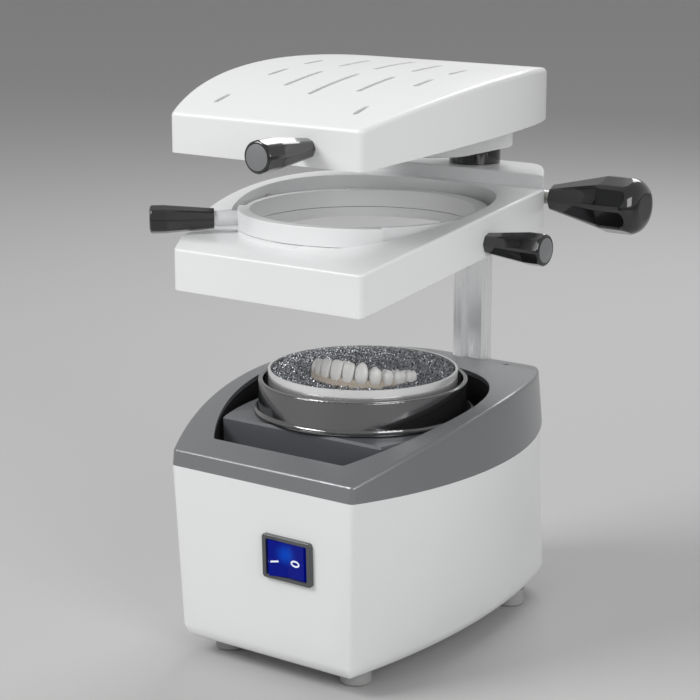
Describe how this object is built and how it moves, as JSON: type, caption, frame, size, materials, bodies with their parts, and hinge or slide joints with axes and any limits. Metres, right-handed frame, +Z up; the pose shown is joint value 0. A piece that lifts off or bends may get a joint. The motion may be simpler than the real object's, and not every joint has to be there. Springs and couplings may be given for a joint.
{
  "type": "dental vacuum former",
  "caption": "Bench vacuum forming machine: bowed base with a granule cup, a clamping carriage sliding on a column and a heater head that swings aside.",
  "frame": {"origin": "on the standing plane, straight below the axis of the vacuum table and the clamp ring, in the machine's middle plane", "axes": "+Z up, -Y towards the front with the switch, +X towards the right side of someone facing the front"},
  "size_m": [0.2119, 0.2604, 0.3259],
  "materials": {
    "white_shell": "satin white moulding",
    "grey_cover": "satin grey moulding",
    "table_grey": "satin grey paint",
    "table_dark": "dark gloss",
    "black_plastic": "matt black",
    "foot_rubber": "matt grey",
    "black_knob": "polished black",
    "lever_rod": "satin white",
    "column_steel": "fine lengthwise grind",
    "steel": "plain",
    "zinc_screw": "zinc plated",
    "cup_metal": "spun and polished rim",
    "granule_metal": "loose small balls",
    "gum_stone": "dental stone, beige",
    "tooth_stone": "dental stone, pale",
    "switch_black": "dark grey",
    "switch_blue": "translucent blue, lit",
    "motor_metal": "pressed sheet",
    "stator_iron": "varnished laminations",
    "brass": "turned",
    "seal_rubber": "matt black",
    "pan_steel": "bright sheet",
    "ceramic": "fired ceramic",
    "coil_metal": "heat-darkened sheath",
    "cable_rubber": "black sleeve"
  },
  "bodies": {
    "base": {"base_housing": "white_shell", "base_cover": "grey_cover", "well_liner": "black_plastic", "floor_plate": "steel", "foot_front_right": "foot_rubber", "foot_front_left": "foot_rubber", "foot_rear_right": "foot_rubber", "foot_rear_left": "foot_rubber", "foot_screws": "zinc_screw", "cover_screws": "zinc_screw", "switch_housing": "switch_black", "power_inlet": "switch_black", "fuse_holder": "switch_black", "wiring": "cable_rubber", "motor_can": "motor_metal", "motor_mount": "steel", "motor_stator": "stator_iron", "fan_chamber": "motor_metal", "chamber_lid": "motor_metal", "suction_seal": "seal_rubber", "table_block": "table_grey", "table_gasket": "seal_rubber", "table_wall": "table_dark", "perforated_plate": "steel", "column": "column_steel", "column_foot": "steel", "column_screws": "zinc_screw", "pivot_pin": "steel", "pivot_collar": "black_knob"},
    "rotor": {"rotor_shaft": "steel", "impeller": "motor_metal"},
    "rocker": {"switch_rocker": "switch_blue"},
    "cup": {"granule_cup": "cup_metal", "granules": "granule_metal", "cast_gum": "gum_stone", "cast_teeth": "tooth_stone"},
    "carriage": {"carriage_frame": "white_shell", "seat_gasket": "seal_rubber", "bayonet_pins": "zinc_screw", "guide_bush": "black_plastic", "side_handle": "black_knob", "side_handle_stud": "zinc_screw", "lock_shoe": "brass"},
    "ring": {"clamp_ring": "white_shell", "ring_lever_rod": "lever_rod", "ring_lever_knob": "black_knob"},
    "lock": {"lock_knob": "black_knob", "lock_spindle": "zinc_screw"},
    "head": {"head_shell": "white_shell", "heater_pan": "pan_steel", "pan_screws": "zinc_screw", "head_boss": "white_shell", "pivot_bush": "brass", "heater_reflector": "pan_steel", "heater_tile": "ceramic", "heater_coil": "coil_metal", "head_knob": "black_knob", "head_knob_stud": "zinc_screw"}
  },
  "joints": [
    {"name": "head_swing", "type": "hinge", "parent": "base", "child": "head", "pos_m": [0, 0.114, 0.28], "axis": [0, 0, 1], "range_deg": [-90, 90]},
    {"name": "carriage_slide", "type": "slide", "parent": "base", "child": "carriage", "axis": [0, 0, 1], "range_m": [-0.0865, 0]},
    {"name": "ring_turn", "type": "hinge", "parent": "carriage", "child": "ring", "pos_m": [0, 0, 0.244], "axis": [0, 0, 1], "range_deg": [0, 37]},
    {"name": "lock_knob_turn", "type": "hinge", "parent": "carriage", "child": "lock", "pos_m": [0.06, 0.114, 0.2448], "axis": [1, 0, 0], "range_deg": [0, 180]},
    {"name": "switch_rock", "type": "hinge", "parent": "base", "child": "rocker", "pos_m": [0.01875, -0.0912, 0.0727], "axis": [0, -0.0305, 0.9995], "range_deg": [-14, 0]},
    {"name": "cup_lift", "type": "slide", "parent": "base", "child": "cup", "axis": [0, 0, 1], "range_m": [0, 0.05]},
    {"name": "motor_spin", "type": "hinge", "parent": "base", "child": "rotor", "pos_m": [0, 0, 0.07], "axis": [0, 0, 1], "continuous": true}
  ]
}
